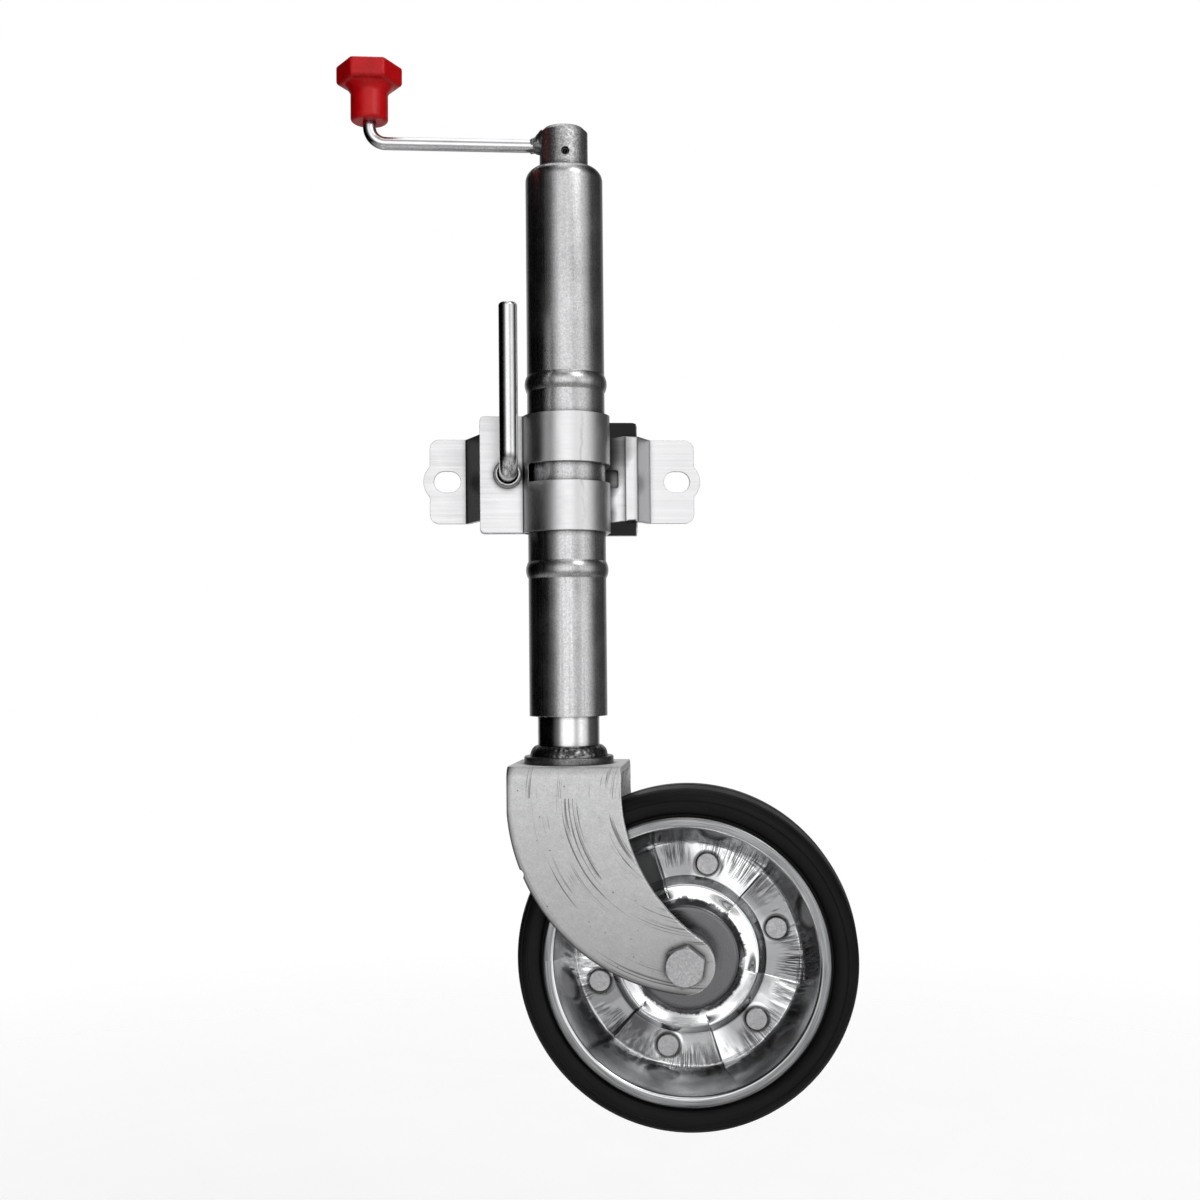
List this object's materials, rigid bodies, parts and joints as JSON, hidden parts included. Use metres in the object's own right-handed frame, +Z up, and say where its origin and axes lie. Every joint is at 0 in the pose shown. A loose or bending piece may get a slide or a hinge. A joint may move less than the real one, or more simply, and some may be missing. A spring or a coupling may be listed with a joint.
{
  "type": "trailer tongue jack",
  "caption": "Jockey wheel with a cranked telescopic leg, a swivelling fork with a solid-tyred wheel, and a bolt-on clamp bracket with a lever.",
  "frame": {"origin": "midway between the bracket's two slots, on the face of the ears that bolts to the trailer", "axes": "+X along the ears, +Y towards the trailer the bracket bolts to, +Z up along the leg"},
  "size_m": [0.3142, 0.0975, 0.648],
  "materials": {
    "bracket_zinc": "satin zinc plate, fine brushing",
    "tube_zinc": "dark grey drawn tube, zinc plated",
    "rod_zinc": "bright zinc plated bar",
    "fork_galvanised": "matt galvanised plate with specks",
    "rim_zinc": "bright zinc plated pressing",
    "weld": "rippled weld bead, plated over",
    "fastener_zinc": "zinc plated fastener",
    "bearing_steel": "oiled bearing steel",
    "bronze": "sintered bronze",
    "spindle_steel": "greased cut thread",
    "nylon": "natural nylon",
    "knob_red": "glossy moulded plastic",
    "rubber": "solid black rubber"
  },
  "bodies": {
    "bracket": {"back_saddle": "bracket_zinc", "left_ear": "bracket_zinc", "right_ear": "bracket_zinc", "ear_welds": "weld", "clamp_nut": "fastener_zinc"},
    "strap": {"front_strap": "bracket_zinc"},
    "lever_washer": {"clamp_washer": "fastener_zinc"},
    "lever": {"clamp_lever": "rod_zinc", "lever_collar": "rod_zinc"},
    "outer_leg": {"outer_tube": "tube_zinc", "top_seat": "tube_zinc", "top_bush": "bronze", "thrust_race_upper": "bearing_steel", "lower_guide_bush": "nylon"},
    "crank": {"spindle": "spindle_steel", "thrust_race_lower": "bearing_steel", "thrust_balls": "bearing_steel", "crank_hub": "fastener_zinc", "hub_pin": "spindle_steel", "hub_washer": "fastener_zinc", "crank_arm": "rod_zinc", "crank_weld": "weld", "knob_push_nut": "fastener_zinc"},
    "hand_knob": {"knob": "knob_red", "knob_cap": "knob_red"},
    "guide": {"inner_guide_ring": "nylon"},
    "inner_leg": {"inner_tube": "rod_zinc", "spindle_nut": "bearing_steel", "nut_rivets": "fastener_zinc", "guide_ring_clip": "bearing_steel", "tube_weld": "weld", "swivel_flange": "tube_zinc", "fork": "fork_galvanised", "axle_bolt": "fastener_zinc", "axle_sleeve": "fastener_zinc", "axle_washers": "fastener_zinc", "axle_nut": "fastener_zinc", "nut_insert": "nylon"},
    "road_wheel": {"tyre": "rubber", "rim_outer_half": "rim_zinc", "rim_inner_half": "rim_zinc", "rim_rivets": "fastener_zinc", "hub_barrel": "fastener_zinc", "hub_bushes": "nylon"}
  },
  "joints": [
    {"name": "clamp_washer_slide", "type": "slide", "parent": "bracket", "child": "lever_washer", "axis": [0, -1, 0], "range_m": [0, 0.00175]},
    {"name": "clamp_lever_turn", "type": "hinge", "parent": "lever_washer", "child": "lever", "pos_m": [-0.0365, -0.039, 0], "axis": [0, -1, 0], "range_deg": [0, 360]},
    {"name": "front_strap_open", "type": "hinge", "parent": "bracket", "child": "strap", "pos_m": [0.0425, -0.035, 0], "axis": [0, 0, 1], "range_deg": [0, 1.1]},
    {"name": "tube_slide", "type": "slide", "parent": "bracket", "child": "outer_leg", "axis": [0, 0, 1], "range_m": [-0.014, 0.017], "stiffness_N_per_m": 4000, "springref_m": 0.01375},
    {"name": "crank_turn", "type": "hinge", "parent": "outer_leg", "child": "crank", "pos_m": [0, -0.039, 0], "axis": [0, 0, -1], "range_deg": [-1081, 17101]},
    {"name": "knob_spin", "type": "hinge", "parent": "crank", "child": "hand_knob", "pos_m": [-0.12, -0.039, 0.24], "axis": [0, 0, 1], "continuous": true},
    {"name": "lift_slide", "type": "slide", "parent": "outer_leg", "child": "guide", "axis": [0, 0, -1], "range_m": [-0.012, 0.19]},
    {"name": "castor_swivel", "type": "hinge", "parent": "guide", "child": "inner_leg", "pos_m": [0, -0.039, -0.17], "axis": [0, 0, 1], "continuous": true},
    {"name": "wheel_spin", "type": "hinge", "parent": "inner_leg", "child": "road_wheel", "pos_m": [0.07038, -0.05268, -0.293], "axis": [-0.1908, -0.9816, 0], "continuous": true}
  ],
  "couplings": [
    {"joint": "clamp_washer_slide", "follows": "clamp_lever_turn", "m_per_rad": 0.00027852},
    {"joint": "front_strap_open", "follows": "clamp_lever_turn", "ratio": 0.0030556},
    {"joint": "crank_turn", "follows": "lift_slide", "rad_per_m": 1570.8}
  ]
}
